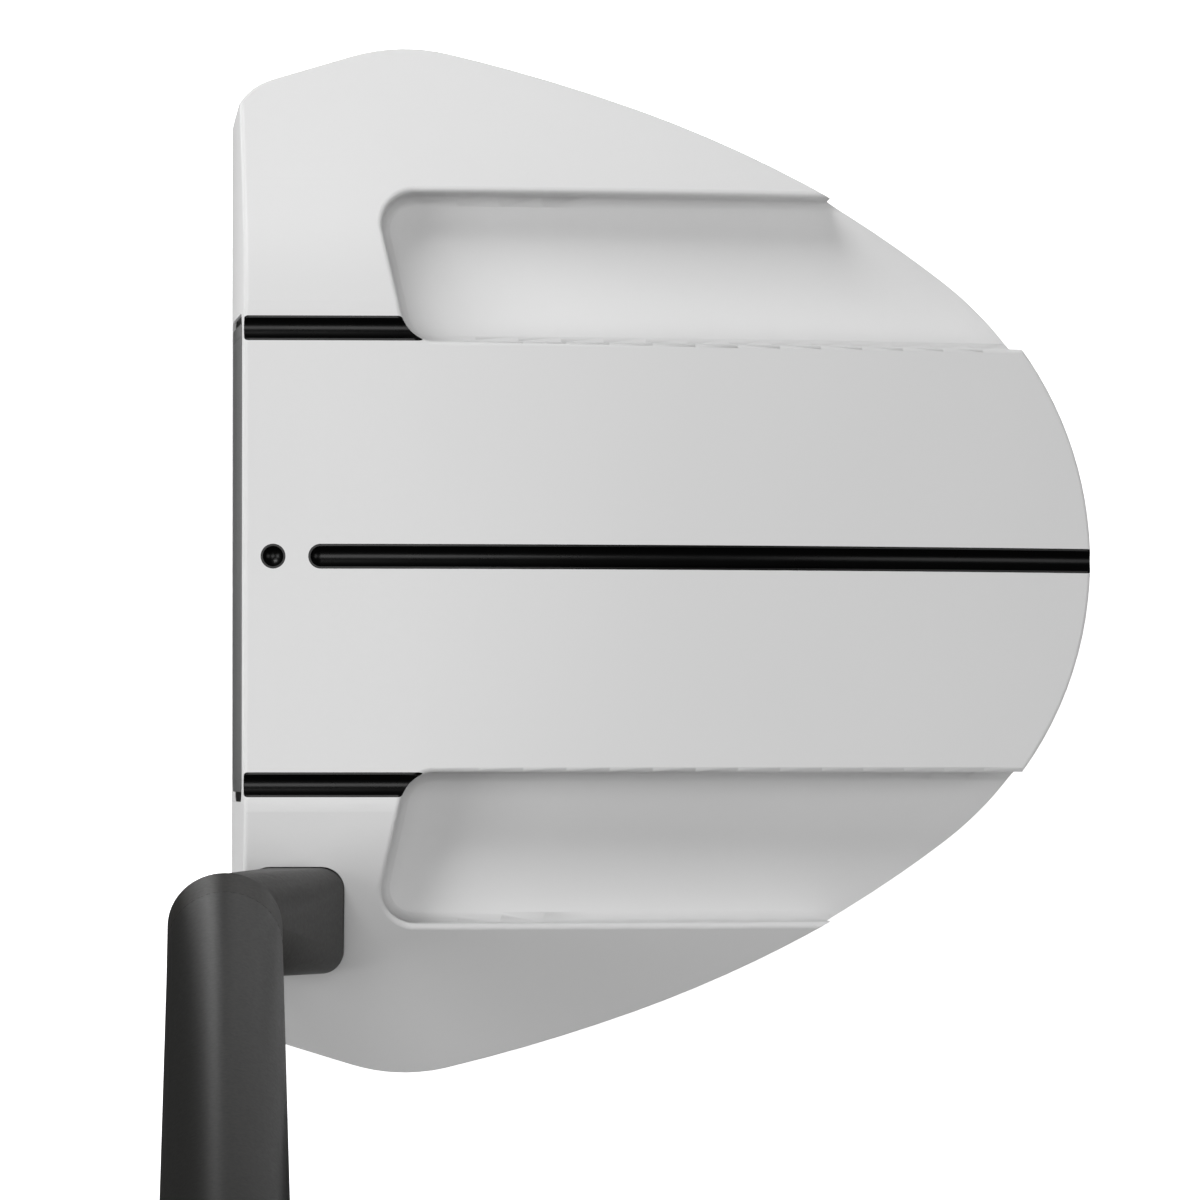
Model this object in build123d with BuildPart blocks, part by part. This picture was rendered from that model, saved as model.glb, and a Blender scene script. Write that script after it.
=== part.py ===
from build123d import *
import os
from math import atan, cos, degrees, radians, sin, sqrt, tan

os.makedirs("parts", exist_ok=True)

# Mallet putter, right-handed, in millimetres, standing at address with its sole on z = 0.
# +X runs from the striking face to the rear of the head, +Y from heel to toe, +Z up.
# The origin is on the ground, under the middle of the head.

# ---- Driving dimensions: head ----
HEAD_DEPTH = 86.8        # leading edge to rearmost point
HEAD_WIDTH = 103.0       # heel to toe
HEAD_HEIGHT = 25.4       # sole to crown, at the face
LOFT = 2.8               # face angle, degrees
FACE_TRIM = 0.15         # taken off the front of the outline by the face plane, at the ground
CORNER_RADIUS = 6.0      # front toe and heel corners, seen from above
FLARE = 17.6             # angle of the straight run behind the corner, degrees
FLARE_LENGTH = 8.4
PEAK_RADIUS = 18.0       # widest point of the outline
PEAK_SLOPE = 0.207       # fall of the outline behind the widest point, for a head as deep as wide
SIDE_RADIUS = 185.0
SIDE_TURN = 6.0          # degrees
TAIL_RADIUS = 35.1       # round rear of the head
CROWN_FLAT_DEPTH = 9.5   # flat stretch of the crown behind the face
CROWN_DROP = 15.54       # fall of the crown from the face to the rear, along one arc
CROWN_TURN = 30.0        # degrees; the arc runs on past the tail
CROWN_FLAT_WIDTH = 48.8  # flat middle of the crown, heel to toe
CREASE_RADIUS = 6.0      # soft crease where each wing leaves the flat middle
CREASE_TURN = 8.0        # degrees
SHOULDER_RADIUS = 34.0   # rounded part of each wing
SHOULDER_TURN = 22.0     # degrees
WING_RADIUS = 100.0      # outer part of each wing, falling to the rim
WING_TURN = 26.0         # degrees; it runs on past the rim
SOLE_FLAT_WIDTH = 60.0
SOLE_FLAT_REAR = 22.0    # from the origin rearwards
SOLE_RADIUS = 260.0      # arcs that lift the sole towards its rim
SOLE_TURN = 10.0         # degrees; the arcs run on past the rim
CROWN_FILLET = 0.45      # every edge of the crown
SOLE_FILLET = 1.2

# ---- Driving dimensions: crown pockets and sight lines ----
BAR_WIDTH = 42.6         # central bar between the pockets
POCKET_OUTER_Y = 36.3
POCKET_FRONT_INNER = 17.4  # from the leading edge to the front wall, beside the bar
POCKET_FRONT_OUTER = 14.0  # the same, beside the wing
POCKET_DEPTH = 9.3       # below the middle of the crown
POCKET_CORNER = 3.4
POCKET_FLOOR_FILLET = 1.0
LINE_WIDTH = 2.46
LINE_SPACING = 45.12     # between the middles of the two outer lines, a ball's width inside them
LINE_TOOL_RADIUS = 1.4   # ball-nosed cutter
PAINT_THICKNESS = 0.18
CENTRE_LINE_START = 8.8  # from the leading edge
DOT_START = 4.1

# ---- Driving dimensions: face insert ----
INSERT_LENGTH = 46.6
INSERT_HEIGHT = 16.8
INSERT_CENTRE_Z = 11.7
INSERT_CORNER = 1.2
INSERT_THICKNESS = 2.0
BACKING_THICKNESS = 1.8
FRAME_WIDTH = 1.0
FRAME_SINK = 0.3         # frame below the face
ADHESIVE = 0.15          # every bond line

# ---- Driving dimensions: sole ----
PLATE_THICKNESS = 3.0
PLATE_FRONT_WIDTH = 64.0
PLATE_REAR_WIDTH = 44.0
PLATE_SETBACK = 11.4     # from the leading edge
PLATE_LENGTH = 52.0
PLATE_CORNER = 6.0
PLATE_GAP = 0.1
GASKET_THICKNESS = 0.2
SCREW_RADIUS = 1.5
SCREW_HEAD_RADIUS = 2.8
SCREW_CONE = 90.0        # countersunk head, degrees
SCREW_LENGTH = 7.0
SCREW_INSET = 5.5        # from the edges of the plate
SCREW_SINK = 0.15        # heads below the plate's face
SCREW_SOCKET = 2.2       # hexagonal drive, across flats
SCREW_SOCKET_DEPTH = 1.0
SCREW_END_GAP = 0.5      # threaded holes beyond the screws' ends
WEIGHT_RADIUS = 6.5
WEIGHT_HEIGHT = 6.4
WEIGHT_SINK = 0.9        # below the sole, at the middle of the weight
WEIGHT_SETBACK = 23.4    # from the leading edge
WEIGHT_INSET = 11.0      # from the toe and heel ends
RING_HEIGHT = 0.8
RING_WIDTH = 1.6
WEIGHT_CHAMFER = 0.5
WEIGHT_SOCKET = 5.0      # hexagonal drive, across flats
WEIGHT_SOCKET_DEPTH = 3.0
CAVITY_SETBACK = 36.4    # to the middle of two lightening pockets hidden above the sole plate
CAVITY_Y = 10.5
CAVITY_LENGTH = 34.0
CAVITY_WIDTH = 15.0
CAVITY_CORNER = 3.0
CAVITY_TOP = 13.0

# ---- Driving dimensions: neck ----
LIE = 70.0               # shaft angle above the ground, degrees
SHAFT_FORWARD = 0.6      # shaft axis ahead of the leading edge
SHAFT_OFFSET = 16.1      # towards the toe, from the neck root to where the shaft axis meets the ground
SEAM_DISTANCE = 52.6     # along the axis, from the ground to the end of the shaft
COLLAR_LENGTH = 5.1
NECK_ROOT_DEPTH = 9.5
NECK_ROOT_WIDTH = 10.45
NECK_ROOT_X = 6.35       # from the leading edge to the middle of the root
NECK_ROOT_INSET = 15.5   # from the heel end to the middle of the root
NECK_ROOT_CORNER = 2.2
NECK_SEAT_Z = 16.5
NECK_ARM_Z = 24.0        # where the straight root becomes the slanted arm
NECK_GAP = 0.1
TENON_RADIUS = 3.5
TENON_LENGTH = 8.5
NECK_SCREW_RADIUS = 2.0
NECK_SCREW_HEAD_RADIUS = 3.5
NECK_SCREW_HEAD_HEIGHT = 3.0
NECK_WASHER_HEIGHT = 0.6
NECK_SCREW_BITE = 5.5    # thread engaged in the tenon
NECK_SCREW_SOCKET = 3.0  # hexagonal drive, across flats
NECK_SCREW_SOCKET_DEPTH = 2.0
ARM_STEP = 0.25          # top of the arm inside the collar's edge
NECK_HEAD_Z = 1.6        # bottom of the screw head

# ---- Driving dimensions: shaft and grip ----
CLUB_LENGTH = 889.0      # along the shaft axis, from the ground to the butt
SHAFT_TIP_RADIUS = 5.525
SHAFT_BUTT_RADIUS = 7.45
SHAFT_TAPER_LENGTH = 490.0
SHAFT_WALL = 0.45
TIP_WALL = 0.525
POST_LENGTH = 22.0
POST_CHAMFER = 0.5
POST_CLEARANCE = 2.0     # shaft bore beyond the end of the post
GRIP_LENGTH = 268.0
GRIP_FRONT = 9.6         # from the shaft axis to the flat front of the grip
GRIP_FLAT_SHARE = 0.5    # half width of the flat front, in back radii
GRIP_CORNER_SHARE = 0.3  # corners beside the flat front, in back radii
# Place along the grip, from its lower end to the butt, and the radius of its round back there.
GRIP_STATIONS = ((0.0, 10.6), (0.4, 11.4), (0.75, 13.2), (1.0, 14.0))
TAPE_THICKNESS = 0.2
SKIN_THICKNESS = 1.2
CAP_HEIGHT = 4.0
CAP_PLUG_HEIGHT = 6.0
CAP_FIT = 0.1
CAP_FILLET = 1.2
VENT_RADIUS = 1.0

# ---- Values worked out from them ----
FRONT_X = -HEAD_DEPTH / 2
HALF_WIDTH = HEAD_WIDTH / 2
CROWN_RUN = HEAD_DEPTH - CROWN_FLAT_DEPTH
CROWN_RADIUS = (CROWN_RUN**2 + CROWN_DROP**2) / (2 * CROWN_DROP)
PEAK_FALL = degrees(atan(PEAK_SLOPE * HEAD_WIDTH / HEAD_DEPTH))
PLATE_FRONT_X = FRONT_X + PLATE_SETBACK
PLATE_REAR_X = PLATE_FRONT_X + PLATE_LENGTH
WEIGHT_X = FRONT_X + WEIGHT_SETBACK
WEIGHT_Y = HALF_WIDTH - WEIGHT_INSET
CAVITY_X = FRONT_X + CAVITY_SETBACK
NECK_ROOT_Y = NECK_ROOT_INSET - HALF_WIDTH
SHAFT_GROUND_Y = NECK_ROOT_Y + SHAFT_OFFSET
POST_RADIUS = SHAFT_TIP_RADIUS - TIP_WALL - ADHESIVE
REACH = HEAD_DEPTH + HEAD_WIDTH  # longer than any part of the head
WALL_LIMIT = 0.2  # a face whose normal rises or falls less than this is a wall
ON_SURFACE = 0.01  # nearer than this counts as touching
LINE_LIFT = sqrt(LINE_TOOL_RADIUS**2 - (LINE_WIDTH / 2) ** 2)  # cutter centre above the crown
FACE_DEPTH = INSERT_THICKNESS + BACKING_THICKNESS + ADHESIVE

face_lean = radians(LOFT)
face_point = Vector(FRONT_X + INSERT_CENTRE_Z * tan(face_lean), 0, INSERT_CENTRE_Z)
face_normal = Vector(-cos(face_lean), 0, sin(face_lean))
face_plane = Plane(origin=face_point, x_dir=(0, -1, 0), z_dir=face_normal)

shaft_direction = Vector(0, -cos(radians(LIE)), sin(radians(LIE)))
shaft_ground = Vector(FRONT_X - SHAFT_FORWARD, SHAFT_GROUND_Y, 0)
shaft_axis = Axis(shaft_ground, shaft_direction)
# Profiles of turned pieces: x is the radius and y the distance along the axis from the ground.
shaft_section = Plane(origin=shaft_ground, x_dir=(1, 0, 0), z_dir=Vector(1, 0, 0).cross(shaft_direction))


def across_shaft(distance):
    """A plane square to the shaft, at a distance from the ground; y points to the grip's flat side."""
    return Plane(origin=shaft_ground + shaft_direction * distance, x_dir=(1, 0, 0), z_dir=shaft_direction)


def upright_faces(part):
    return part.faces().filter_by(lambda f: abs(f.normal_at().Z) < WALL_LIMIT)


def shared_edges(edges, *face_groups):
    """The edges that belong to a face in every group."""
    return [e for e in edges if all(any(e.is_same(side) for side in faces.edges()) for faces in face_groups)]


def save(part, label):
    part.label = label
    export_step(part, f"parts/{label}.step")


# ---- Head envelope ----
# The outline from above: a straight front, tangent arcs down each side and a round tail.
with BuildSketch() as outline:
    with BuildLine():
        corner_y = HALF_WIDTH - CORNER_RADIUS * cos(radians(FLARE)) - FLARE_LENGTH * sin(radians(FLARE))
        corner_y -= PEAK_RADIUS * (1 - cos(radians(FLARE)))
        front = Line((FRONT_X - FACE_TRIM, 0), (FRONT_X - FACE_TRIM, corner_y))
        corner = JernArc(front @ 1, front % 1, CORNER_RADIUS, FLARE - 90)
        flare = Line(corner @ 1, corner @ 1 + FLARE_LENGTH * (corner % 1))
        peak = JernArc(flare @ 1, flare % 1, PEAK_RADIUS, -FLARE - PEAK_FALL)
        side = JernArc(peak @ 1, peak % 1, SIDE_RADIUS, -SIDE_TURN)
        # The flank is the one arc that continues the side and also touches the tail's circle.
        tail_centre = Vector(-FRONT_X - TAIL_RADIUS, 0)
        inward = (side % 1).rotate(Axis.Z, -90)
        reach = (side @ 1) - tail_centre
        flank_radius = (reach.length**2 - TAIL_RADIUS**2) / (-2 * inward.dot(reach) - 2 * TAIL_RADIUS)
        flank_centre = (side @ 1) + inward * flank_radius
        outward = (tail_centre - flank_centre).normalized()
        flank_turn = inward.get_angle(-outward)
        flank = JernArc(side @ 1, side % 1, flank_radius, -flank_turn)
        JernArc(flank @ 1, flank % 1, TAIL_RADIUS, flank_turn + SIDE_TURN + PEAK_FALL - 90)
        mirror(about=Plane.XZ)
    make_face()

# The crown: a cross-section that is flat in the middle and falls to both wings, carried along
# a line that is flat behind the face and then drops along one arc.
with BuildPart() as crown:
    with BuildLine(Plane.XZ) as crown_path:
        run = Line((FRONT_X - CORNER_RADIUS, HEAD_HEIGHT), (FRONT_X + CROWN_FLAT_DEPTH, HEAD_HEIGHT))
        JernArc(run @ 1, run % 1, CROWN_RADIUS, -CROWN_TURN)
    with BuildSketch(Plane(origin=crown_path.line @ 0, x_dir=(0, 1, 0), z_dir=(1, 0, 0))):
        with BuildLine():
            flat = Line((0, 0), (CROWN_FLAT_WIDTH / 2, 0))
            crease = JernArc(flat @ 1, flat % 1, CREASE_RADIUS, -CREASE_TURN)
            shoulder = JernArc(crease @ 1, crease % 1, SHOULDER_RADIUS, -SHOULDER_TURN)
            wing = JernArc(shoulder @ 1, shoulder % 1, WING_RADIUS, -WING_TURN)
            Polyline(wing @ 1, ((wing @ 1).X, -3 * HEAD_HEIGHT), (0, -3 * HEAD_HEIGHT), (0, 0))
        make_face()
        mirror(about=Plane.YZ)
    sweep(path=crown_path.line)

# The sole: flat in the middle and lifting to heel and toe, carried along a line that is flat
# under the front of the head and then lifts towards the tail.
with BuildPart() as sole:
    with BuildLine(Plane.XZ) as sole_path:
        run = Line((FRONT_X - CORNER_RADIUS, 0), (SOLE_FLAT_REAR, 0))
        JernArc(run @ 1, run % 1, SOLE_RADIUS, SOLE_TURN)
    with BuildSketch(Plane(origin=sole_path.line @ 0, x_dir=(0, 1, 0), z_dir=(1, 0, 0))):
        with BuildLine():
            flat = Line((0, 0), (SOLE_FLAT_WIDTH / 2, 0))
            lift = JernArc(flat @ 1, flat % 1, SOLE_RADIUS, SOLE_TURN)
            Polyline(lift @ 1, ((lift @ 1).X, 2 * HEAD_HEIGHT), (0, 2 * HEAD_HEIGHT), (0, 0))
        make_face()
        mirror(about=Plane.YZ)
    sweep(path=sole_path.line)

with BuildPart() as envelope:
    add(outline.sketch)
    extrude(amount=2 * HEAD_HEIGHT)
    add(crown.part, mode=Mode.INTERSECT)
    add(sole.part, mode=Mode.INTERSECT)
    split(bisect_by=face_plane, keep=Keep.BOTTOM)
    underside = envelope.faces().filter_by(lambda f: f.normal_at().Z < -WALL_LIMIT)
    fillet(shared_edges(envelope.edges(), upright_faces(envelope), underside), SOLE_FILLET)

# ---- Crown pockets ----
# One cutter: open at the rear rim, with a slanted front wall and a floor that follows the crown.
with BuildPart() as pocket:
    with BuildSketch():
        with BuildLine():
            Polyline(
                (FRONT_X + POCKET_FRONT_INNER, BAR_WIDTH / 2),
                (FRONT_X + POCKET_FRONT_OUTER, POCKET_OUTER_Y),
                (FRONT_X + REACH, POCKET_OUTER_Y),
                (FRONT_X + REACH, BAR_WIDTH / 2),
                close=True,
            )
        make_face()
    extrude(amount=2 * HEAD_HEIGHT)
    fillet(pocket.edges().filter_by(Axis.Z).group_by(Axis.X)[0], POCKET_CORNER)
    fillet(pocket.edges().filter_by(Axis.Z).group_by(Axis.X)[1], POCKET_CORNER)
    with BuildSketch(Plane.XZ.offset(-REACH / 2)):
        with BuildLine():
            floor_z = HEAD_HEIGHT - POCKET_DEPTH
            floor = Line((FRONT_X - CORNER_RADIUS, floor_z), (FRONT_X + CROWN_FLAT_DEPTH, floor_z))
            drop = JernArc(floor @ 1, floor % 1, CROWN_RADIUS - POCKET_DEPTH, -CROWN_TURN)
            Polyline(drop @ 1, ((drop @ 1).X, -HEAD_HEIGHT), ((floor @ 0).X, -HEAD_HEIGHT), floor @ 0)
        make_face()
    extrude(amount=REACH, mode=Mode.SUBTRACT)
    fillet(pocket.faces().filter_by(lambda f: f.normal_at().Z < -WALL_LIMIT).edges(), POCKET_FLOOR_FILLET)

# The head's outer form: pockets cut, and every edge of the crown rounded.
with BuildPart() as blank:
    add(envelope.part)
    add(pocket.part, mode=Mode.SUBTRACT)
    add(mirror(pocket.part, about=Plane.XZ), mode=Mode.SUBTRACT)
    skin = crown.faces().filter_by(lambda f: f.normal_at().Z > WALL_LIMIT)
    crown_edges = [
        e for e in blank.edges() if skin.sort_by_distance(e @ 0.5)[0].distance_to(e @ 0.5) < ON_SURFACE
    ]
    fillet(shared_edges(crown_edges, upright_faces(blank)), CROWN_FILLET)


# ---- Sight lines and dot: paint films in ball-nosed grooves ----
def groove(start, y, radius):
    """The path of a ball-nosed cutter that follows the crown to the rear."""
    with BuildPart() as cutter:
        with BuildLine(Plane.XZ.offset(-y)) as path:
            height = HEAD_HEIGHT + LINE_LIFT
            run = Line((FRONT_X + start, height), (FRONT_X + CROWN_FLAT_DEPTH, height))
            JernArc(run @ 1, run % 1, CROWN_RADIUS + LINE_LIFT, -CROWN_TURN)
        with BuildSketch(Plane(origin=path.line @ 0, x_dir=(0, 1, 0), z_dir=(1, 0, 0))):
            Circle(radius)
        sweep(path=path.line)
        with Locations(path.line @ 0):
            Sphere(radius)
    return cutter.part


def dimple(start, radius):
    return Pos(FRONT_X + start, 0, HEAD_HEIGHT + LINE_LIFT) * Sphere(radius)


def paint_film(outer, inner):
    """The layer between the groove's wall and the paint's own surface, cut off where the crown ends."""
    with BuildPart() as film:
        add(outer)
        add(inner, mode=Mode.SUBTRACT)
        add(blank.part, mode=Mode.INTERSECT)
    return film.part


INNER_TOOL_RADIUS = LINE_TOOL_RADIUS - PAINT_THICKNESS
grooves = [dimple(DOT_START, LINE_TOOL_RADIUS)]
save(paint_film(grooves[0], dimple(DOT_START, INNER_TOOL_RADIUS)), "sight_dot")
for label, start, y in (
    ("sight_line_centre", CENTRE_LINE_START, 0),
    ("sight_line_toe", -CORNER_RADIUS, LINE_SPACING / 2),
    ("sight_line_heel", -CORNER_RADIUS, -LINE_SPACING / 2),
):
    grooves.append(groove(start, y, LINE_TOOL_RADIUS))
    save(paint_film(grooves[-1], groove(start, y, INNER_TOOL_RADIUS)), label)

# ---- Face insert, in a recess square to the face ----
FRAME_LENGTH = INSERT_LENGTH + 2 * FRAME_WIDTH
FRAME_HEIGHT = INSERT_HEIGHT + 2 * FRAME_WIDTH
FRAME_CORNER = INSERT_CORNER + FRAME_WIDTH

with BuildPart() as face_insert:
    with BuildSketch(face_plane):
        RectangleRounded(INSERT_LENGTH, INSERT_HEIGHT, INSERT_CORNER)
    extrude(amount=-INSERT_THICKNESS)
save(face_insert.part, "face_insert")

with BuildPart() as insert_backing:
    with BuildSketch(face_plane.offset(-INSERT_THICKNESS)):
        RectangleRounded(INSERT_LENGTH, INSERT_HEIGHT, INSERT_CORNER)
    extrude(amount=-BACKING_THICKNESS)
save(insert_backing.part, "insert_backing")

with BuildPart() as insert_frame:
    with BuildSketch(face_plane.offset(-FRAME_SINK)):
        RectangleRounded(FRAME_LENGTH, FRAME_HEIGHT, FRAME_CORNER)
        RectangleRounded(INSERT_LENGTH, INSERT_HEIGHT, INSERT_CORNER, mode=Mode.SUBTRACT)
    extrude(amount=FRAME_SINK + ADHESIVE - FACE_DEPTH)
save(insert_frame.part, "insert_frame")

with BuildPart() as insert_tape:
    with BuildSketch(face_plane.offset(-FACE_DEPTH)):
        RectangleRounded(FRAME_LENGTH, FRAME_HEIGHT, FRAME_CORNER)
    extrude(amount=ADHESIVE)
save(insert_tape.part, "insert_tape")

with BuildPart() as face_recess:
    with BuildSketch(face_plane.offset(HEAD_HEIGHT)):
        RectangleRounded(FRAME_LENGTH, FRAME_HEIGHT, FRAME_CORNER)
    extrude(amount=-HEAD_HEIGHT - FACE_DEPTH)

# ---- Sole plate, gasket and screws ----
with BuildSketch() as plate_outline:
    with BuildLine():
        Polyline(
            (PLATE_FRONT_X, PLATE_FRONT_WIDTH / 2),
            (PLATE_REAR_X, PLATE_REAR_WIDTH / 2),
            (PLATE_REAR_X, -PLATE_REAR_WIDTH / 2),
            (PLATE_FRONT_X, -PLATE_FRONT_WIDTH / 2),
            close=True,
        )
    make_face()
    fillet(plate_outline.vertices(), PLATE_CORNER)

screw_places = []
for share in (0, 0.5, 1):
    x = PLATE_FRONT_X + SCREW_INSET + share * (PLATE_REAR_X - PLATE_FRONT_X - 2 * SCREW_INSET)
    narrowing = (PLATE_FRONT_WIDTH - PLATE_REAR_WIDTH) / 2 * (x - PLATE_FRONT_X) / (PLATE_REAR_X - PLATE_FRONT_X)
    y = PLATE_FRONT_WIDTH / 2 - narrowing - SCREW_INSET
    screw_places += [(x, y), (x, -y)]

with BuildPart() as sole_plate:
    add(plate_outline.sketch)
    extrude(amount=PLATE_THICKNESS)
    add(sole.part, mode=Mode.INTERSECT)
    with Locations(Location((0, 0, SCREW_SINK), (180, 0, 0))):
        with Locations([(x, -y) for x, y in screw_places]):
            CounterSinkHole(SCREW_RADIUS, SCREW_HEAD_RADIUS, PLATE_THICKNESS, SCREW_CONE)
save(sole_plate.part, "sole_plate")

with BuildPart() as sole_gasket:
    with BuildSketch(Plane.XY.offset(PLATE_THICKNESS)):
        add(plate_outline.sketch)
        with Locations(screw_places):
            Circle(SCREW_RADIUS, mode=Mode.SUBTRACT)
    extrude(amount=GASKET_THICKNESS)
save(sole_gasket.part, "sole_gasket")

for number, (x, y) in enumerate(screw_places, 1):
    with BuildPart() as screw:
        with BuildSketch(Plane(origin=(x, y, SCREW_SINK), x_dir=(1, 0, 0), z_dir=(0, -1, 0))):
            with BuildLine():
                cone = (SCREW_HEAD_RADIUS - SCREW_RADIUS) / tan(radians(SCREW_CONE / 2))
                Polyline(
                    (0, 0),
                    (SCREW_HEAD_RADIUS, 0),
                    (SCREW_RADIUS, cone),
                    (SCREW_RADIUS, SCREW_LENGTH),
                    (0, SCREW_LENGTH),
                    close=True,
                )
            make_face()
        revolve(axis=Axis((x, y, 0), (0, 0, 1)))
        with BuildSketch(Plane.XY.offset(SCREW_SINK)):
            with Locations((x, y)):
                RegularPolygon(SCREW_SOCKET / 2, 6, major_radius=False)
        extrude(amount=SCREW_SOCKET_DEPTH, mode=Mode.SUBTRACT)
    save(screw.part, f"sole_screw_{number}")

# ---- Toe and heel weights, each with a ring above it ----
weight_top = WEIGHT_SINK + WEIGHT_HEIGHT
for side, y in (("toe", WEIGHT_Y), ("heel", -WEIGHT_Y)):
    with BuildPart() as weight:
        with BuildSketch(Plane.XY.offset(WEIGHT_SINK)):
            with Locations((WEIGHT_X, y)):
                Circle(WEIGHT_RADIUS)
        extrude(amount=WEIGHT_HEIGHT)
        chamfer(weight.edges().group_by(Axis.Z)[0], WEIGHT_CHAMFER)
        with BuildSketch(Plane.XY.offset(WEIGHT_SINK)):
            with Locations((WEIGHT_X, y)):
                RegularPolygon(WEIGHT_SOCKET / 2, 6, major_radius=False)
        extrude(amount=WEIGHT_SOCKET_DEPTH, mode=Mode.SUBTRACT)
    save(weight.part, f"{side}_weight")
    with BuildPart() as ring:
        with BuildSketch(Plane.XY.offset(weight_top)):
            with Locations((WEIGHT_X, y)):
                Circle(WEIGHT_RADIUS)
                Circle(WEIGHT_RADIUS - RING_WIDTH, mode=Mode.SUBTRACT)
        extrude(amount=RING_HEIGHT)
    save(ring.part, f"{side}_weight_ring")

# ---- Neck: root block and tenon in the head, slanted arm, collar, and post inside the shaft ----
root_place = (FRONT_X + NECK_ROOT_X, NECK_ROOT_Y)
root_bottom = NECK_SEAT_Z + ADHESIVE
collar_bottom = SEAM_DISTANCE - COLLAR_LENGTH
washer_top = NECK_HEAD_Z + NECK_SCREW_HEAD_HEIGHT + NECK_WASHER_HEIGHT
tenon_bottom = root_bottom - TENON_LENGTH

with BuildPart() as neck:
    with BuildSketch(Plane.XY.offset(root_bottom)):
        with Locations(root_place):
            RectangleRounded(NECK_ROOT_DEPTH, NECK_ROOT_WIDTH, NECK_ROOT_CORNER)
    extrude(amount=NECK_ARM_Z - root_bottom)
    with BuildSketch(Plane.XY.offset(NECK_ARM_Z)):
        with Locations(root_place):
            RectangleRounded(NECK_ROOT_DEPTH, NECK_ROOT_WIDTH, NECK_ROOT_CORNER)
    with BuildSketch(across_shaft(collar_bottom)):
        arm_width = 2 * SHAFT_TIP_RADIUS - ARM_STEP
        RectangleRounded(arm_width, arm_width, SHAFT_TIP_RADIUS - ARM_STEP)
    loft()
    with BuildSketch(across_shaft(collar_bottom)):
        Circle(SHAFT_TIP_RADIUS)
    extrude(amount=COLLAR_LENGTH)
    with BuildSketch(across_shaft(SEAM_DISTANCE)):
        Circle(POST_RADIUS)
    extrude(amount=POST_LENGTH)
    chamfer(neck.edges().sort_by(Axis.Z)[-1], POST_CHAMFER)
    with BuildSketch(Plane.XY.offset(tenon_bottom)):
        with Locations(root_place):
            Circle(TENON_RADIUS)
    extrude(amount=TENON_LENGTH)
    with BuildSketch(Plane.XY.offset(tenon_bottom)):
        with Locations(root_place):
            Circle(NECK_SCREW_RADIUS)
    extrude(amount=NECK_SCREW_BITE + SCREW_END_GAP, mode=Mode.SUBTRACT)
save(neck.part, "neck")

with BuildPart() as neck_bond:
    with BuildSketch(Plane.XY.offset(NECK_SEAT_Z)):
        with Locations(root_place):
            RectangleRounded(NECK_ROOT_DEPTH, NECK_ROOT_WIDTH, NECK_ROOT_CORNER)
            Circle(TENON_RADIUS, mode=Mode.SUBTRACT)
    extrude(amount=ADHESIVE)
save(neck_bond.part, "neck_bond")

with BuildPart() as neck_screw:
    with BuildSketch(Plane.XY.offset(NECK_HEAD_Z)):
        with Locations(root_place):
            Circle(NECK_SCREW_HEAD_RADIUS)
    extrude(amount=NECK_SCREW_HEAD_HEIGHT)
    with BuildSketch(Plane.XY.offset(NECK_HEAD_Z)):
        with Locations(root_place):
            Circle(NECK_SCREW_RADIUS)
    extrude(amount=tenon_bottom + NECK_SCREW_BITE - NECK_HEAD_Z)
    with BuildSketch(Plane.XY.offset(NECK_HEAD_Z)):
        with Locations(root_place):
            RegularPolygon(NECK_SCREW_SOCKET / 2, 6, major_radius=False)
    extrude(amount=NECK_SCREW_SOCKET_DEPTH, mode=Mode.SUBTRACT)
save(neck_screw.part, "neck_screw")

with BuildPart() as neck_washer:
    with BuildSketch(Plane.XY.offset(washer_top - NECK_WASHER_HEIGHT)):
        with Locations(root_place):
            Circle(NECK_SCREW_HEAD_RADIUS)
            Circle(NECK_SCREW_RADIUS + NECK_GAP, mode=Mode.SUBTRACT)
    extrude(amount=NECK_WASHER_HEIGHT)
save(neck_washer.part, "neck_washer")

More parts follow.
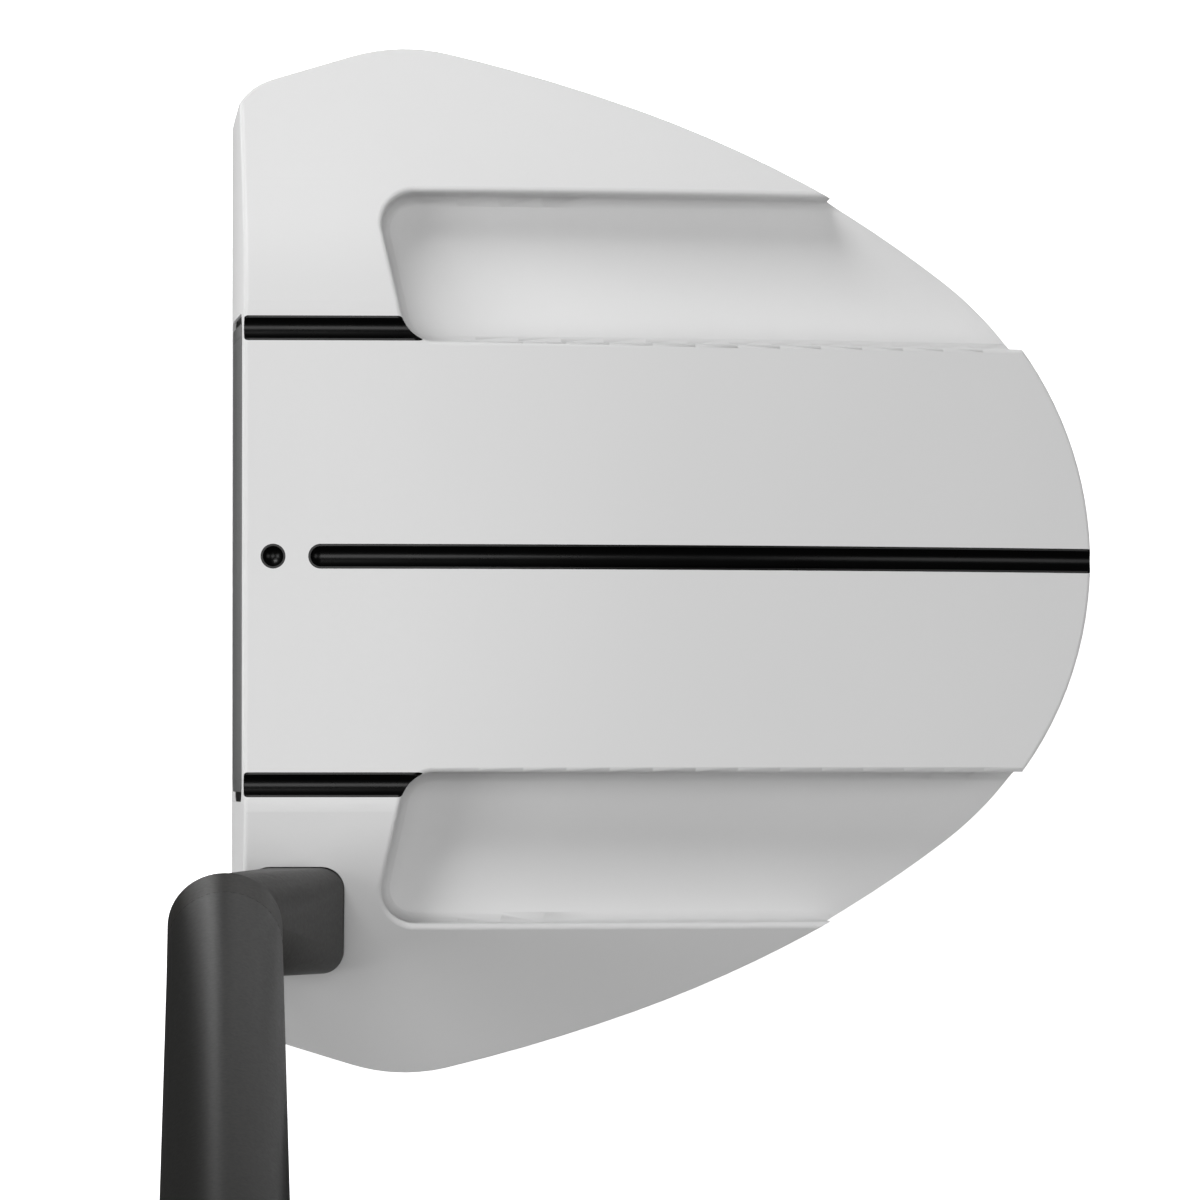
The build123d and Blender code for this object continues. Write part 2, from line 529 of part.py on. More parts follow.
# ---- Head body: the blank with every seat cut into it ----
with BuildPart() as head_body:
    add(blank.part)
    for cutter in grooves:
        add(cutter, mode=Mode.SUBTRACT)
    add(face_recess.part, mode=Mode.SUBTRACT)
    # Sole recess, with two lightening pockets and the screws' threaded holes above it.
    with BuildSketch(Plane.XY.offset(-SOLE_FILLET)):
        offset(plate_outline.sketch, amount=PLATE_GAP)
    extrude(amount=SOLE_FILLET + PLATE_THICKNESS + GASKET_THICKNESS, mode=Mode.SUBTRACT)
    with BuildSketch(Plane.XY):
        with Locations((CAVITY_X, CAVITY_Y), (CAVITY_X, -CAVITY_Y)):
            RectangleRounded(CAVITY_LENGTH, CAVITY_WIDTH, CAVITY_CORNER)
    extrude(amount=CAVITY_TOP, mode=Mode.SUBTRACT)
    with BuildSketch(Plane.XY):
        with Locations(screw_places):
            Circle(SCREW_RADIUS)
    extrude(amount=SCREW_SINK + SCREW_LENGTH + SCREW_END_GAP, mode=Mode.SUBTRACT)
    # Weight bores.
    with BuildSketch(Plane.XY.offset(-SOLE_FILLET)):
        with Locations((WEIGHT_X, WEIGHT_Y), (WEIGHT_X, -WEIGHT_Y)):
            Circle(WEIGHT_RADIUS)
    extrude(amount=SOLE_FILLET + weight_top + RING_HEIGHT, mode=Mode.SUBTRACT)
    # Neck: seat in the crown, tenon hole, and the screw's hole and counterbore from the sole.
    with BuildSketch(Plane.XY.offset(NECK_SEAT_Z)):
        with Locations(root_place):
            RectangleRounded(
                NECK_ROOT_DEPTH + 2 * NECK_GAP, NECK_ROOT_WIDTH + 2 * NECK_GAP, NECK_ROOT_CORNER + NECK_GAP
            )
    extrude(amount=HEAD_HEIGHT, mode=Mode.SUBTRACT)
    with BuildSketch(Plane.XY.offset(tenon_bottom - ADHESIVE)):
        with Locations(root_place):
            Circle(TENON_RADIUS + NECK_GAP / 2)
    extrude(amount=TENON_LENGTH + HEAD_HEIGHT, mode=Mode.SUBTRACT)
    with BuildSketch(Plane.XY):
        with Locations(root_place):
            Circle(NECK_SCREW_RADIUS + NECK_GAP)
    extrude(amount=NECK_SEAT_Z, mode=Mode.SUBTRACT)
    with BuildSketch(Plane.XY):
        with Locations(root_place):
            Circle(NECK_SCREW_HEAD_RADIUS + NECK_GAP)
    extrude(amount=washer_top, mode=Mode.SUBTRACT)
save(head_body.part, "head_body")

# ---- Shaft and the bond inside it ----
shaft_end = CLUB_LENGTH - CAP_HEIGHT
taper_end = SEAM_DISTANCE + SHAFT_TAPER_LENGTH
bore_radius = POST_RADIUS + ADHESIVE
butt_bore = SHAFT_BUTT_RADIUS - SHAFT_WALL

with BuildPart() as shaft:
    with BuildSketch(shaft_section):
        with BuildLine():
            Polyline(
                (bore_radius, SEAM_DISTANCE),
                (SHAFT_TIP_RADIUS, SEAM_DISTANCE),
                (SHAFT_BUTT_RADIUS, taper_end),
                (SHAFT_BUTT_RADIUS, shaft_end),
                (butt_bore, shaft_end),
                (butt_bore, taper_end),
                (bore_radius, SEAM_DISTANCE + POST_LENGTH + POST_CLEARANCE),
                close=True,
            )
        make_face()
    revolve(axis=shaft_axis)
save(shaft.part, "shaft")

with BuildPart() as shaft_bond:
    with BuildSketch(across_shaft(SEAM_DISTANCE)):
        Circle(bore_radius)
        Circle(POST_RADIUS, mode=Mode.SUBTRACT)
    extrude(amount=POST_LENGTH)
save(shaft_bond.part, "shaft_bond")


# ---- Grip: tape, core, skin and cap ----
def grip_profile(back_radius, inset):
    """A round back, two corner arcs and a flat front on +y, drawn in from the skin by an inset."""
    front_y = GRIP_FRONT - inset
    flat_half = GRIP_FLAT_SHARE * back_radius
    corner_radius = GRIP_CORNER_SHARE * back_radius - inset
    back = back_radius - inset
    corner_y = front_y - corner_radius
    back_centre_y = corner_y - sqrt((back - corner_radius) ** 2 - flat_half**2)
    lean = Vector(flat_half, corner_y - back_centre_y)
    corner_turn = lean.get_angle(Vector(0, 1))
    with BuildSketch(mode=Mode.PRIVATE) as profile:
        with BuildLine():
            flat = Line((-flat_half, front_y), (flat_half, front_y))
            right = JernArc(flat @ 1, flat % 1, corner_radius, -corner_turn)
            round_back = JernArc(right @ 1, right % 1, back, 2 * corner_turn - 360)
            JernArc(round_back @ 1, round_back % 1, corner_radius, -corner_turn)
        make_face()
    return profile.sketch


def grip_body(inset):
    """The grip's form, lofted through its stations from the lower end to the butt."""
    with BuildPart() as form:
        for share, back_radius in GRIP_STATIONS:
            with BuildSketch(across_shaft(shaft_end - GRIP_LENGTH * (1 - share))):
                add(grip_profile(back_radius, inset))
        loft()
    return form.part


tape_radius = SHAFT_BUTT_RADIUS + TAPE_THICKNESS
grip_start = across_shaft(shaft_end - GRIP_LENGTH)

with BuildPart() as grip_tape:
    with BuildSketch(grip_start):
        Circle(tape_radius)
        Circle(SHAFT_BUTT_RADIUS, mode=Mode.SUBTRACT)
    extrude(amount=GRIP_LENGTH)
save(grip_tape.part, "grip_tape")

with BuildPart() as grip_core:
    add(grip_body(SKIN_THICKNESS))
    with BuildSketch(grip_start):
        Circle(tape_radius)
    extrude(amount=GRIP_LENGTH, mode=Mode.SUBTRACT)
save(grip_core.part, "grip_core")

with BuildPart() as grip_skin:
    add(grip_body(0))
    add(grip_body(SKIN_THICKNESS), mode=Mode.SUBTRACT)
save(grip_skin.part, "grip_skin")

with BuildPart() as grip_cap:
    with BuildSketch(across_shaft(shaft_end)):
        add(grip_profile(GRIP_STATIONS[-1][1], 0))
    extrude(amount=CAP_HEIGHT)
    fillet(grip_cap.faces().sort_by(shaft_axis)[-1].edges(), CAP_FILLET)
    with BuildSketch(across_shaft(shaft_end)):
        Circle(butt_bore - CAP_FIT)
    extrude(amount=-CAP_PLUG_HEIGHT)
    with BuildSketch(across_shaft(CLUB_LENGTH)):
        Circle(VENT_RADIUS)
    extrude(amount=-CAP_HEIGHT - CAP_PLUG_HEIGHT, mode=Mode.SUBTRACT)
save(grip_cap.part, "grip_cap")
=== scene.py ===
import math

import bmesh
import bpy
from mathutils import Matrix, Vector


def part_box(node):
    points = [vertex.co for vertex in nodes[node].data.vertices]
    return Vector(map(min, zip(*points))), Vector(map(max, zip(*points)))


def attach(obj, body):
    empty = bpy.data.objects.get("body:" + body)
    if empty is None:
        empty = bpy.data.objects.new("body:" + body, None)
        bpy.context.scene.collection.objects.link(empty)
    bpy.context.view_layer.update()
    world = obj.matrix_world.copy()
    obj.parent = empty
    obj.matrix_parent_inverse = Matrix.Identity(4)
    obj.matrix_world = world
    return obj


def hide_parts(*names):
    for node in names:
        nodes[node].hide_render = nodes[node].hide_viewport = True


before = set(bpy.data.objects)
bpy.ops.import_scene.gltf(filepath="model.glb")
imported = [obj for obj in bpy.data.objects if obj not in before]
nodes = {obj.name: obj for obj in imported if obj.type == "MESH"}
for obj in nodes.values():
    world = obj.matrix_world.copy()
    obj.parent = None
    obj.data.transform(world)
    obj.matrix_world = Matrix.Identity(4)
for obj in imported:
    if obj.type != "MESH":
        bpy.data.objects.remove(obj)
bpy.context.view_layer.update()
scene = bpy.context.scene
head_low, head_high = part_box("head_body")
crown = head_high.z
front = head_low.x


# ---- Camera ----
# It hangs above the crown, over the striking face, and leans back a little to look near the
# middle of the head, with the toe at the top of the view.
CAMERA_HEIGHT = 0.78       # above the crown
CAMERA_AHEAD = 0.0005      # ahead of the striking face
CAMERA_TO_HEEL = 0.0206    # from the middle of the head
CAMERA_LENS = 237.0        # millimetres
eye = Vector((front - CAMERA_AHEAD, -CAMERA_TO_HEEL, crown + CAMERA_HEIGHT))
target = Vector((-0.0070, -0.0043, crown))
camera = bpy.data.objects.new("camera", bpy.data.cameras.new("camera"))
scene.collection.objects.link(camera)
backwards = (eye - target).normalized()
rightwards = Vector((0, 1, 0)).cross(backwards).normalized()
upwards = backwards.cross(rightwards)
turned = Matrix((rightwards, upwards, backwards)).transposed().to_4x4()
camera.matrix_world = Matrix.Translation(eye) @ turned
camera.data.lens = CAMERA_LENS
camera.data.clip_start = 0.05
scene.camera = camera
scene.view_settings.view_transform = "Standard"


# ---- Studio: floor and lights ----
# A seamless white table top and four soft boxes. The key light stands beyond the toe, so the
# toe wing is the brightest part and the heel wing falls into soft grey.
def linear(hex_colour):
    """An sRGB hex colour as the linear values that a shader takes."""
    channels = [int(hex_colour[i:i + 2], 16) / 255 for i in (1, 3, 5)]
    return [c / 12.92 if c <= 0.04045 else ((c + 0.055) / 1.055) ** 2.4 for c in channels] + [1.0]


def add_node(tree, kind, inputs=None, **settings):
    """Adds a node with its settings; an input takes a plain value or another node's output."""
    node = tree.nodes.new(kind)
    for name, value in settings.items():
        setattr(node, name, value)
    for name, value in (inputs or {}).items():
        if isinstance(value, bpy.types.NodeSocket):
            tree.links.new(value, node.inputs[name])
        else:
            node.inputs[name].default_value = value
    return node


def soft_box(name, place, size, watts):
    """A square area light that faces the head."""
    light = bpy.data.objects.new(name, bpy.data.lights.new(name, "AREA"))
    light.data.size = size
    light.data.energy = watts
    scene.collection.objects.link(light)
    light.location = place
    light.rotation_euler = (target - Vector(place)).to_track_quat("-Z", "Y").to_euler()


# All stand at one distance. Each has its angle round from the rear of the head towards the toe,
# its height angle, and its power in whole stops below the key light, each stop halving it.
LIGHT_DISTANCE = 1.4
LIGHT_SIZE = 0.6
KEY_WATTS = 11.5
for name, turn, rise, stops in (
    ("key", 120, 40, 0),
    ("front", 180, 45, 1),
    ("overhead", 90, 90, 1),
    ("rear", 0, 45, 2),
):
    turn, rise = math.radians(turn), math.radians(rise)
    reach = LIGHT_DISTANCE * math.cos(rise)
    place = (reach * math.cos(turn), reach * math.sin(turn), LIGHT_DISTANCE * math.sin(rise))
    soft_box(name, place, LIGHT_SIZE, KEY_WATTS / 2**stops)

# A small reflector card lies on the table in front of the face, out of view. Only glossy
# surfaces pick it up, as a soft streak along the shaft.
CARD_WIDTH = 0.010
CARD_LENGTH = 0.075
CARD_WATTS = 0.0055
CARD_AHEAD = 0.014   # from the striking face to the middle of the card
CARD_TO_TOE = 0.016  # from the middle of the head
CARD_HEIGHT = 0.002
card = bpy.data.objects.new("reflector_card", bpy.data.lights.new("reflector_card", "AREA"))
card.data.shape = "RECTANGLE"
card.data.size = CARD_WIDTH
card.data.size_y = CARD_LENGTH
card.data.energy = CARD_WATTS
card.location = (front - CARD_AHEAD, CARD_TO_TOE, CARD_HEIGHT)
card.rotation_euler = (math.pi, 0, 0)
card.visible_camera = False
card.visible_diffuse = False
scene.collection.objects.link(card)

scene.world = bpy.data.worlds.new("studio")
scene.world.use_nodes = True
ROOM_LIGHT = 0.05
room = scene.world.node_tree.nodes["Background"]
room.inputs["Color"].default_value = linear("#ffffff")
room.inputs["Strength"].default_value = ROOM_LIGHT

FLOOR_REACH = 12.0
FLOOR_DROP = 0.0002  # below the sole, so that the two don't share a plane
GLOW_FULL = 0.15     # radius around the head where the table top's painted glow is at full strength, washing out the head's shadow
GLOW_END = 0.6
GLOW_NEAR = 0.75     # its strength there
GLOW_FAR = 0.5       # and beyond GLOW_END
floor_mesh = bpy.data.meshes.new("floor")
floor_corners = [(-FLOOR_REACH, -FLOOR_REACH), (FLOOR_REACH, -FLOOR_REACH),
                 (FLOOR_REACH, FLOOR_REACH), (-FLOOR_REACH, FLOOR_REACH)]
floor_mesh.from_pydata([(x, y, -FLOOR_DROP) for x, y in floor_corners], [], [(0, 1, 2, 3)])
floor = bpy.data.objects.new("floor", floor_mesh)
scene.collection.objects.link(floor)
floor.visible_glossy = False
floor_paper = bpy.data.materials.new("white_table_top_with_painted_glow")
floor_paper.use_nodes = True
tree = floor_paper.node_tree
floor_shader = tree.nodes["Principled BSDF"]
floor_shader.inputs["Base Color"].default_value = linear("#f6f6f6")
floor_shader.inputs["Roughness"].default_value = 0.9
# Painted glow: the table top emits light, strongest around the head and fading further out, which washes
# out the shadow the head casts on it.
floor_shader.inputs["Emission Color"].default_value = linear("#ffffff")
from_head = add_node(tree, "ShaderNodeVectorMath", {
    0: add_node(tree, "ShaderNodeTexCoord").outputs["Object"],
}, operation="LENGTH").outputs["Value"]
glow = add_node(tree, "ShaderNodeMapRange", {
    "Value": from_head, "From Min": GLOW_FULL, "From Max": GLOW_END,
    "To Min": GLOW_NEAR, "To Max": GLOW_FAR,
}, interpolation_type="SMOOTHSTEP")
tree.links.new(glow.outputs["Result"], floor_shader.inputs["Emission Strength"])
floor_mesh.materials.append(floor_paper)


# ---- Head body: cast and milled aluminium under a white hard coat ----
# The crown is bead-blasted before it is coated, so it has a fine even grain and a satin gloss,
# and its white drifts very slightly from place to place.
def start_finish(name, colour, sockets):
    """A material whose plain values sit directly on its shader."""
    material = bpy.data.materials.new(name)
    material.use_nodes = True
    shader = material.node_tree.nodes["Principled BSDF"]
    shader.inputs["Base Color"].default_value = linear(colour)
    for socket, value in sockets.items():
        shader.inputs[socket].default_value = value
    return material, material.node_tree, shader


def object_place(tree, scale=(1, 1, 1), location=(0, 0, 0)):
    """Object coordinates, moved or stretched for a pattern."""
    place = add_node(tree, "ShaderNodeTexCoord")
    return add_node(tree, "ShaderNodeMapping", {
        "Vector": place.outputs["Object"], "Scale": scale, "Location": location,
    }).outputs["Vector"]


def grain(tree, vector, size, detail=2.0):
    """Even noise whose lumps are about as wide as size, in metres."""
    return add_node(tree, "ShaderNodeTexNoise", {
        "Vector": vector, "Scale": 1 / size, "Detail": detail, "Roughness": 0.6,
    }).outputs["Fac"]


def between(tree, factor, low, high):
    """Turns a 0 to 1 pattern into a number between two others."""
    return add_node(tree, "ShaderNodeMapRange", {
        "Value": factor, "To Min": low, "To Max": high,
    }).outputs["Result"]


def tint(tree, factor, first, second):
    """Blends two sRGB colours by a pattern."""
    blend = add_node(tree, "ShaderNodeMix", {"Factor": factor}, data_type="RGBA")
    blend.inputs[6].default_value = linear(first)
    blend.inputs[7].default_value = linear(second)
    return blend.outputs[2]


def relief(tree, height, depth, strength=1.0):
    """A bump of that depth, in metres."""
    return add_node(tree, "ShaderNodeBump", {
        "Height": height, "Distance": depth, "Strength": strength,
    }).outputs["Normal"]


def wear(node_name, material):
    """Gives a CAD node its finish."""
    slots = nodes[node_name].data.materials
    slots.clear()
    slots.append(material)


white_coat, tree, shader = start_finish("white_hard_coat_on_blasted_aluminium", "#d2d2d2", {
    "Roughness": 0.42, "Specular IOR Level": 0.5,
})
place = object_place(tree)
blast = grain(tree, place, 0.0005)
drift = grain(tree, place, 0.03, 1.0)
tree.links.new(tint(tree, drift, "#d0d0d0", "#d4d4d4"), shader.inputs["Base Color"])
tree.links.new(between(tree, blast, 0.38, 0.48), shader.inputs["Roughness"])
tree.links.new(relief(tree, blast, 0.000012, 0.5), shader.inputs["Normal"])
wear("head_body", white_coat)


# ---- Sight lines and dot: black enamel ----
# Paint run into the milled grooves and wiped level, so it dries glossy and slightly uneven.
line_paint, tree, shader = start_finish("glossy_black_enamel", "#020202", {
    "Roughness": 0.26, "Specular IOR Level": 0.2,
})
flow = grain(tree, object_place(tree), 0.004, 1.0)
tree.links.new(between(tree, flow, 0.25, 0.31), shader.inputs["Roughness"])
tree.links.new(relief(tree, flow, 0.00002, 0.3), shader.inputs["Normal"])
for name in ("sight_line_centre", "sight_line_toe", "sight_line_heel", "sight_dot"):
    wear(name, line_paint)


# ---- Face insert: two cast polymer layers in a black frame ----
# The grey striking layer is firm cast urethane. Level grooves are milled across its face to
# grip the ball, so it is remade here as the same slab with those grooves in it.
GROOVE_PITCH = 0.0008
GROOVE_DEPTH = 0.00012
GROOVE_SHARE = 0.4       # part of the pitch that is cut away
GROOVE_SLOPE = 0.08      # part of the pitch that each wall takes
GROOVE_END = 0.0001      # length of the slope at each end of a groove
SLAB_THICKNESS = 0.002
SLAB_CORNER = 0.0012
CORNER_STEPS = 6
LOFT = 2.8               # degrees
insert_low, insert_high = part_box("face_insert")
lean = math.radians(LOFT)
face_up = Vector((math.sin(lean), 0, math.cos(lean)))
face_out = Vector((-math.cos(lean), 0, math.sin(lean)))
insert_half = insert_high.y
insert_height = (insert_high.z - insert_low.z - SLAB_THICKNESS * math.sin(lean)) / math.cos(lean)
insert_middle = Vector(((insert_low.x + insert_high.x) / 2, 0, (insert_low.z + insert_high.z) / 2))
insert_front = insert_middle + face_out * SLAB_THICKNESS / 2

insert_mesh = bmesh.new()


def slab_width(up):
    """Half the slab's length at a height from its middle, with its rounded corners."""
    over = abs(up) - (insert_height / 2 - SLAB_CORNER)
    return insert_half - SLAB_CORNER + math.sqrt(max(SLAB_CORNER**2 - max(over, 0) ** 2, 0))


def corner_height(step):
    """How far one step of the rounded corner is from the middle of the slab."""
    return insert_height / 2 - SLAB_CORNER * (1 - math.cos(step / CORNER_STEPS * math.pi / 2))


# Each height has its depth below the face: the lower corner, the grooves, the upper corner.
heights = [(-corner_height(step), 0.0) for step in range(CORNER_STEPS)]
groove_count = int((insert_height - 2 * SLAB_CORNER) / GROOVE_PITCH)
start = -groove_count * GROOVE_PITCH / 2
for groove in range(groove_count):
    foot = start + groove * GROOVE_PITCH
    edge = foot + GROOVE_PITCH * (1 - GROOVE_SHARE)
    heights += [
        (foot, 0.0), (edge, 0.0), (edge + GROOVE_PITCH * GROOVE_SLOPE, GROOVE_DEPTH),
        (foot + GROOVE_PITCH * (1 - GROOVE_SLOPE), GROOVE_DEPTH),
    ]
heights.append((start + groove_count * GROOVE_PITCH, 0.0))
heights += [(corner_height(step), 0.0) for step in range(CORNER_STEPS - 1, -1, -1)]
rows = []
for up, depth in heights:
    half = slab_width(up)
    inner = min(half, insert_half - SLAB_CORNER)
    row = []
    for across, sink in (
        (-half, 0), (-inner, 0), (-inner + GROOVE_END, depth), (inner - GROOVE_END, depth),
        (inner, 0), (half, 0), (half, SLAB_THICKNESS), (-half, SLAB_THICKNESS),
    ):
        point = insert_front + face_up * up - face_out * sink + Vector((0, across, 0))
        row.append(insert_mesh.verts.new(point))
    rows.append(row)
for below, above in zip(rows, rows[1:]):
    for place in range(len(below)):
        after = (place + 1) % len(below)
        insert_mesh.faces.new((below[place], below[after], above[after], above[place]))
insert_mesh.faces.new(rows[0])
insert_mesh.faces.new(rows[-1])
bmesh.ops.recalc_face_normals(insert_mesh, faces=insert_mesh.faces)
milled_face = bpy.data.meshes.new("milled_insert")
insert_mesh.to_mesh(milled_face)
insert_mesh.free()
milled_insert = bpy.data.objects.new("milled_insert", milled_face)
scene.collection.objects.link(milled_insert)

insert_polymer, tree, shader = start_finish("cast_polyurethane_insert", "#525353", {
    "Roughness": 0.5, "IOR": 1.5,
})
place = object_place(tree)
tree.links.new(relief(tree, grain(tree, place, 0.0003), 0.000012, 0.6), shader.inputs["Normal"])
tree.links.new(tint(tree, grain(tree, place, 0.0004), "#4e4f4f", "#585959"), shader.inputs["Base Color"])
milled_face.materials.append(insert_polymer)
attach(milled_insert, "root")
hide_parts("face_insert")

backing_polymer, tree, shader = start_finish("cast_backing_polymer", "#3c3c3e", {"Roughness": 0.6})
tree.links.new(relief(tree, grain(tree, object_place(tree), 0.0006), 0.00002), shader.inputs["Normal"])
wear("insert_backing", backing_polymer)

frame_polymer, tree, shader = start_finish("black_moulded_nylon_frame", "#060606", {
    "Roughness": 0.5, "Specular IOR Level": 0.2,
})
tree.links.new(relief(tree, grain(tree, object_place(tree), 0.0005), 0.00002), shader.inputs["Normal"])
wear("insert_frame", frame_polymer)


# ---- Bonds: cured epoxy films and the insert's tape ----
bond_film, tree, shader = start_finish("cured_epoxy", "#8a7f62", {"Roughness": 0.35, "IOR": 1.55})
tree.links.new(relief(tree, grain(tree, object_place(tree), 0.001), 0.00003), shader.inputs["Normal"])
for name in ("insert_tape", "neck_bond", "shaft_bond"):
    wear(name, bond_film)


# ---- Sole plate, weights and screws: stainless steel ----
# The plate is fly-cut, which leaves wide arcs of fine lines; the weights and screws are turned.
CUTTER_FEED = 0.0009     # between one arc and the next
CUTTER_OFFSET = 0.12     # from the middle of the head to the middle of the arcs
sole_steel, tree, shader = start_finish("fly_cut_stainless_steel", "#b9b8b5", {
    "Metallic": 1.0, "Roughness": 0.3,
})
arcs = add_node(tree, "ShaderNodeTexWave", {
    "Vector": object_place(tree, location=(CUTTER_OFFSET, 0.0, 0.0)),
    "Scale": 1 / CUTTER_FEED / 2 / math.pi, "Distortion": 0.4, "Detail": 2.0,
}, wave_type="RINGS", rings_direction="Z").outputs["Fac"]
tree.links.new(relief(tree, arcs, 0.00002, 0.5), shader.inputs["Normal"])
tree.links.new(between(tree, arcs, 0.24, 0.36), shader.inputs["Roughness"])
wear("sole_plate", sole_steel)

screw_steel, tree, shader = start_finish("turned_stainless_screw", "#a5a4a2", {
    "Metallic": 1.0, "Roughness": 0.28,
})
turning = grain(tree, object_place(tree, (1, 1, 0.1)), 0.0003)
tree.links.new(between(tree, turning, 0.22, 0.38), shader.inputs["Roughness"])
tree.links.new(relief(tree, turning, 0.00001, 0.6), shader.inputs["Normal"])
for number in range(1, 7):
    wear(f"sole_screw_{number}", screw_steel)
wear("neck_screw", screw_steel)
wear("neck_washer", screw_steel)

weight_steel, tree, shader = start_finish("turned_steel_weight", "#8f8f90", {
    "Metallic": 1.0, "Roughness": 0.3,
})
turning = grain(tree, object_place(tree, (1, 1, 0.1)), 0.0004)
tree.links.new(between(tree, turning, 0.24, 0.4), shader.inputs["Roughness"])
tree.links.new(relief(tree, turning, 0.00001, 0.6), shader.inputs["Normal"])
wear("toe_weight", weight_steel)
wear("heel_weight", weight_steel)

gasket_film, tree, shader = start_finish("nitrile_film", "#141414", {"Roughness": 0.7})
tree.links.new(relief(tree, grain(tree, object_place(tree), 0.0006), 0.00002), shader.inputs["Normal"])
for name in ("sole_gasket", "toe_weight_ring", "heel_weight_ring"):
    wear(name, gasket_film)


# ---- Neck and shaft: steel with a black vapour-deposited coat ----
# Blasted before it was coated: a satin warm black with a very fine grain.
neck_black, tree, shader = start_finish("black_coated_blasted_steel", "#1f1e1c", {
    "Roughness": 0.4, "Specular IOR Level": 0.35,
})
place = object_place(tree)
blast = grain(tree, place, 0.0004)
tree.links.new(between(tree, blast, 0.36, 0.5), shader.inputs["Roughness"])
tree.links.new(relief(tree, blast, 0.00001, 0.5), shader.inputs["Normal"])
wear("neck", neck_black)

shaft_black, tree, shader = start_finish("black_coated_drawn_steel", "#191918", {
    "Roughness": 0.34, "Specular IOR Level": 0.4,
})
blast = grain(tree, object_place(tree), 0.0004)
tree.links.new(between(tree, blast, 0.34, 0.48), shader.inputs["Roughness"])
tree.links.new(relief(tree, blast, 0.000008, 0.5), shader.inputs["Normal"])
wear("shaft", shaft_black)


# ---- Grip: moulded rubber skin over a foam core, with a hard cap ----
# The skin is matt and slightly dusty-looking, with a pebbled grain.
grip_rubber, tree, shader = start_finish("pebbled_grip_rubber", "#1c1c1d", {
    "Roughness": 0.75, "Sheen Weight": 0.15, "Sheen Roughness": 0.5,
})
pebble = add_node(tree, "ShaderNodeTexVoronoi", {
    "Vector": object_place(tree), "Scale": 1 / 0.0011,
}, feature="SMOOTH_F1").outputs["Distance"]
tree.links.new(relief(tree, pebble, 0.0002, 0.7), shader.inputs["Normal"])
tree.links.new(between(tree, pebble, 0.65, 0.85), shader.inputs["Roughness"])
wear("grip_skin", grip_rubber)

# Rows of low lozenges are moulded into the skin, all round and from end to end, and a smooth
# strip is left at each end. Each stands where a ray towards the shaft's axis meets the skin.
GRIP_ROWS = 84
GRIP_COLUMNS = 26
LOZENGE_WIDTH = 0.0011
LOZENGE_HEIGHT = 0.00022
LOZENGE_TOP = 0.00045      # half width of its flat top
GRIP_PLAIN_ENDS = 0.012
RAY_START = 0.03           # well outside the grip
LIE = 70                   # shaft angle above the ground, degrees
lie = math.radians(LIE)
shaft_up = Vector((0, -math.cos(lie), math.sin(lie)))
skin_points = [vertex.co for vertex in nodes["grip_skin"].data.vertices]
skin_along = [point.dot(shaft_up) for point in skin_points]
grip_bottom, grip_top = min(skin_along), max(skin_along)
cap_low, cap_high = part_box("grip_cap")
shaft_low, shaft_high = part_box("shaft")
cap_middle = (cap_low + cap_high) / 2
axis_point = Vector(((shaft_low.x + shaft_high.x) / 2, cap_middle.y, cap_middle.z))
axis_point -= shaft_up * axis_point.dot(shaft_up)

lozenges = bpy.data.node_groups.new("grip_lozenges", "GeometryNodeTree")
interface = lozenges.interface
interface.new_socket("Geometry", in_out="OUTPUT", socket_type="NodeSocketGeometry")
sizes = {}
for label, kind, value in (
    ("Skin", "NodeSocketObject", nodes["grip_skin"]),
    ("Rubber", "NodeSocketMaterial", grip_rubber),
    ("Rows", "NodeSocketInt", GRIP_ROWS),
    ("Columns", "NodeSocketInt", GRIP_COLUMNS),
    ("Start", "NodeSocketFloat", grip_bottom + GRIP_PLAIN_ENDS),
    ("End", "NodeSocketFloat", grip_top - GRIP_PLAIN_ENDS),
    ("Width", "NodeSocketFloat", LOZENGE_WIDTH),
    ("Height", "NodeSocketFloat", LOZENGE_HEIGHT),
):
    sizes[interface.new_socket(label, in_out="INPUT", socket_type=kind).identifier] = value
given = add_node(lozenges, "NodeGroupInput").outputs
skin = add_node(lozenges, "GeometryNodeObjectInfo", {"Object": given["Skin"]}).outputs["Geometry"]


def step_of(operation, first, second=0.0):
    """One step of arithmetic."""
    return add_node(lozenges, "ShaderNodeMath", {0: first, 1: second}, operation=operation).outputs["Value"]


def scaled(vector, amount):
    """A vector times a number."""
    return add_node(lozenges, "ShaderNodeVectorMath", {
        0: vector, "Scale": amount,
    }, operation="SCALE").outputs["Vector"]


def joined(first, second):
    """The sum of two vectors."""
    return add_node(lozenges, "ShaderNodeVectorMath", {
        0: first, 1: second,
    }, operation="ADD").outputs["Vector"]


total = step_of("MULTIPLY", given["Rows"], given["Columns"])
cloud = add_node(lozenges, "GeometryNodePoints", {"Count": total}).outputs["Points"]
number = add_node(lozenges, "GeometryNodeInputIndex").outputs["Index"]
row = step_of("FLOOR", step_of("DIVIDE", number, given["Columns"]))
column = step_of("SUBTRACT", number, step_of("MULTIPLY", row, given["Columns"]))
odd = step_of("MULTIPLY", step_of("MODULO", row, 2.0), 0.5)
turn = step_of("MULTIPLY", step_of("ADD", column, odd), 2 * math.pi / GRIP_COLUMNS)
share = step_of("DIVIDE", row, step_of("SUBTRACT", given["Rows"], 1.0))
span = step_of("SUBTRACT", given["End"], given["Start"])
along = step_of("ADD", given["Start"], step_of("MULTIPLY", share, span))
side = Vector((1, 0, 0))
back = shaft_up.cross(side)
outwards = joined(scaled(side, step_of("COSINE", turn)), scaled(back, step_of("SINE", turn)))
on_axis = joined(scaled(shaft_up, along), axis_point)
from_outside = joined(on_axis, scaled(outwards, RAY_START))
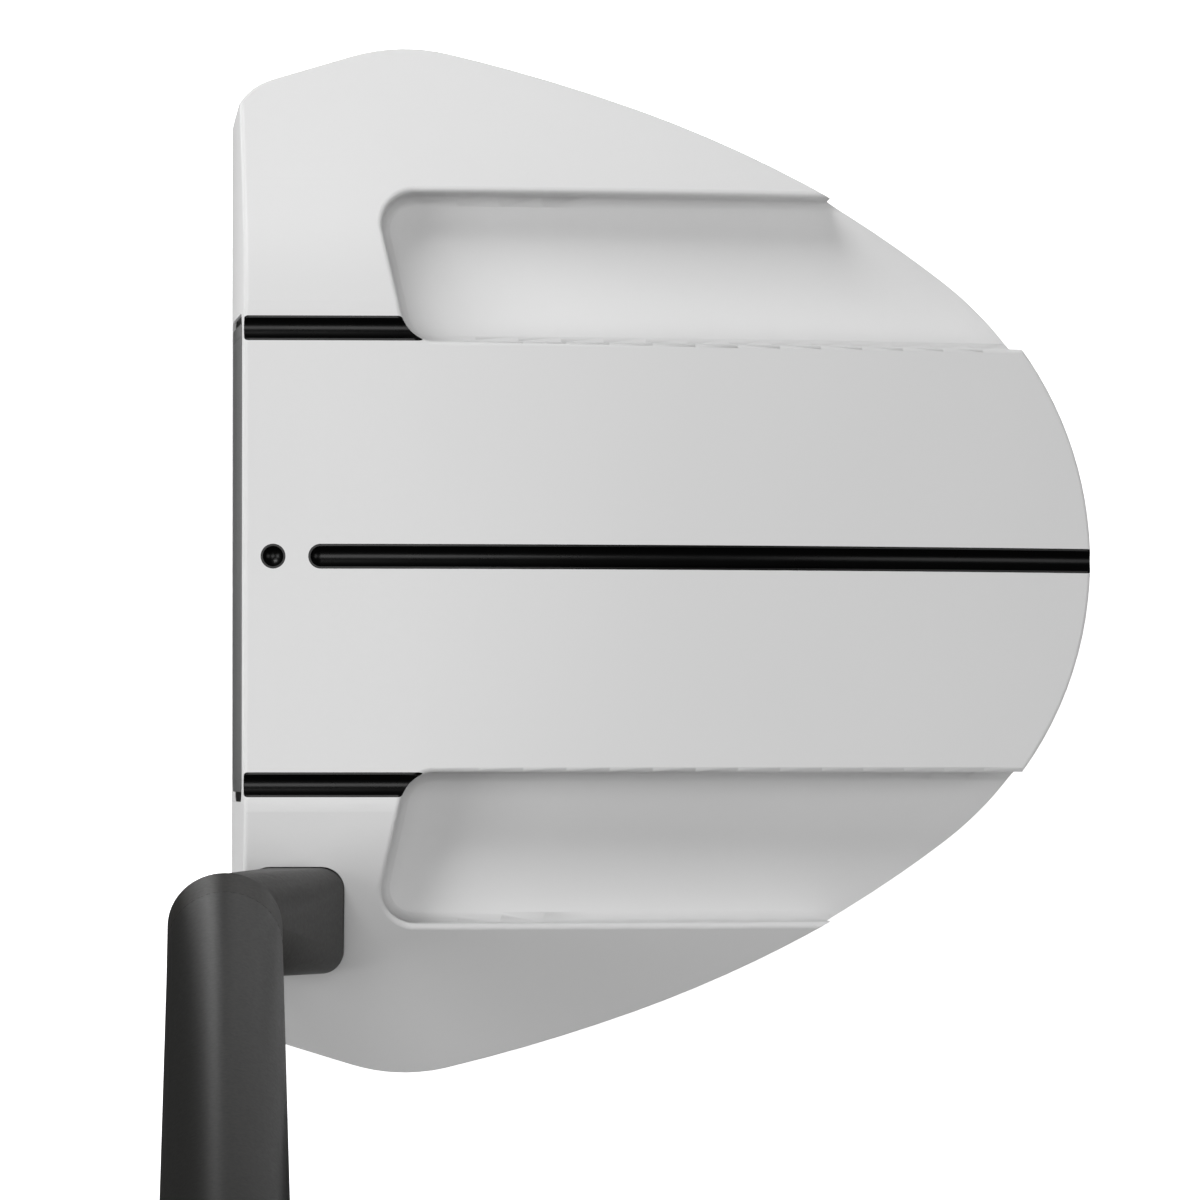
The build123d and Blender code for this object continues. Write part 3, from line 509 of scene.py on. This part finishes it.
hit = add_node(lozenges, "GeometryNodeRaycast", {
    "Target Geometry": skin, "Source Position": from_outside, "Ray Direction": scaled(outwards, -1.0),
    "Ray Length": RAY_START,
})
placed = add_node(lozenges, "GeometryNodeSetPosition", {
    "Geometry": cloud, "Position": hit.outputs["Hit Position"],
}).outputs["Geometry"]
lozenge = add_node(lozenges, "GeometryNodeMeshCone", {
    "Vertices": 4, "Radius Top": LOZENGE_TOP, "Radius Bottom": given["Width"], "Depth": given["Height"],
}).outputs["Mesh"]
upright = add_node(lozenges, "FunctionNodeAxesToRotation", {
    "Primary Axis": hit.outputs["Hit Normal"], "Secondary Axis": shaft_up,
}, primary_axis="Z", secondary_axis="X").outputs["Rotation"]
stamped = add_node(lozenges, "GeometryNodeInstanceOnPoints", {
    "Points": placed, "Instance": lozenge, "Rotation": upright, "Selection": hit.outputs["Is Hit"],
}).outputs["Instances"]
real = add_node(lozenges, "GeometryNodeRealizeInstances", {"Geometry": stamped}).outputs["Geometry"]
dressed = add_node(lozenges, "GeometryNodeSetMaterial", {
    "Geometry": real, "Material": given["Rubber"],
}).outputs["Geometry"]
add_node(lozenges, "NodeGroupOutput", {"Geometry": dressed})

carrier = bpy.data.objects.new("carrier", bpy.data.meshes.new("carrier"))
scene.collection.objects.link(carrier)
modifier = carrier.modifiers.new("lozenges", "NODES")
modifier.node_group = lozenges
for identifier, value in sizes.items():
    modifier[identifier] = value
bpy.context.view_layer.update()
pattern_mesh = bpy.data.meshes.new_from_object(carrier.evaluated_get(bpy.context.evaluated_depsgraph_get()))
bpy.data.objects.remove(carrier)
grip_pattern = bpy.data.objects.new("grip_pattern", pattern_mesh)
scene.collection.objects.link(grip_pattern)
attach(grip_pattern, "root")

grip_foam, tree, shader = start_finish("closed_cell_foam", "#2a2a2c", {"Roughness": 0.9})
tree.links.new(relief(tree, grain(tree, object_place(tree), 0.0007), 0.0002), shader.inputs["Normal"])
wear("grip_core", grip_foam)

grip_paper, tree, shader = start_finish("double_sided_tape", "#cfc8b4", {"Roughness": 0.6})
tree.links.new(relief(tree, grain(tree, object_place(tree), 0.002), 0.00005), shader.inputs["Normal"])
wear("grip_tape", grip_paper)

cap_rubber, tree, shader = start_finish("hard_rubber_cap", "#141415", {"Roughness": 0.5})
tree.links.new(relief(tree, grain(tree, object_place(tree), 0.0006), 0.00003), shader.inputs["Normal"])
wear("grip_cap", cap_rubber)
